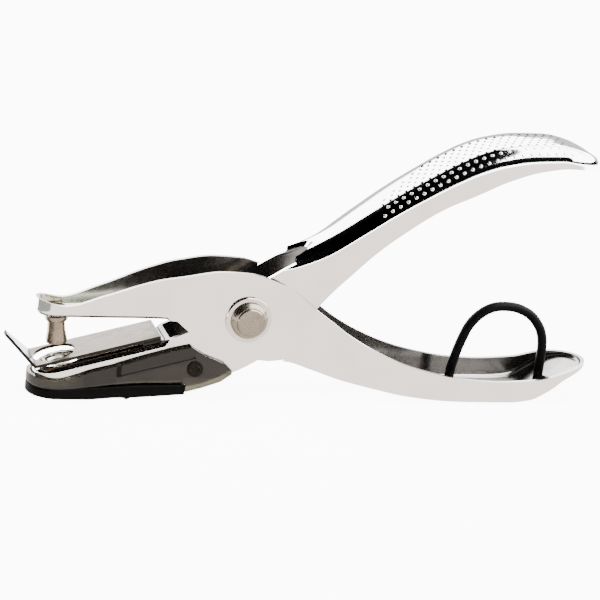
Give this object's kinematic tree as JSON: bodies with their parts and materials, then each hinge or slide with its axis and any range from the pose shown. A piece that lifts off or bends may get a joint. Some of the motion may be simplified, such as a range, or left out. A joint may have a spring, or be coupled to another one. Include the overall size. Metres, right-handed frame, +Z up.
{
  "type": "single hole punch",
  "caption": "Plier-style single hole punch: crossed chromed levers on a rivet, punch pin, die, stripper strip, smoky chip tray and a black wire bow.",
  "frame": {"origin": "centre of the bounding box on the surface that the punch stands on", "axes": "+X from the jaws to the handles, +Y across the levers along the pivot, +Z up"},
  "size_m": [0.158, 0.02, 0.0712],
  "materials": {
    "chrome": "polished chrome plate on pressed steel",
    "nickel": "nickel plate, satin",
    "tool_steel": "ground tool steel, tan",
    "spring_steel": "satin spring steel, tan",
    "dark_steel": "plain steel",
    "smoke_plastic": "smoky see-through plastic",
    "black_plastic": "black plastic",
    "bow_sheath": "black sheath on the wire bow"
  },
  "bodies": {
    "outer_lever": {"outer_lever": "chrome", "pivot_rivet": "nickel", "pivot_cap": "nickel", "washer_near": "chrome", "washer_far": "chrome", "pivot_sleeve": "dark_steel", "return_spring": "dark_steel", "punch_pin": "tool_steel", "punch_collar": "nickel", "hang_loop": "bow_sheath"},
    "inner_lever": {"inner_lever": "chrome", "die_bush": "tool_steel", "stripper_plate": "spring_steel", "stripper_spacer": "dark_steel", "stripper_rivet_near": "spring_steel", "stripper_rivet_far": "spring_steel", "tray_pin": "nickel"},
    "chip_tray": {"chip_tray": "smoke_plastic", "tray_base": "black_plastic"}
  },
  "joints": [
    {"name": "lever_pivot", "type": "hinge", "parent": "outer_lever", "child": "inner_lever", "pos_m": [-0.01827, 0, 0.0223], "axis": [0, 1, 0], "range_deg": [0, 7], "stiffness_Nm_per_rad": 1.5, "springref_deg": -11.46, "deforming": ["return_spring"]},
    {"name": "tray_hinge", "type": "hinge", "parent": "inner_lever", "child": "chip_tray", "pos_m": [-0.03087, 0, 0.0087], "axis": [0, -1, 0], "range_deg": [0, 15]}
  ]
}
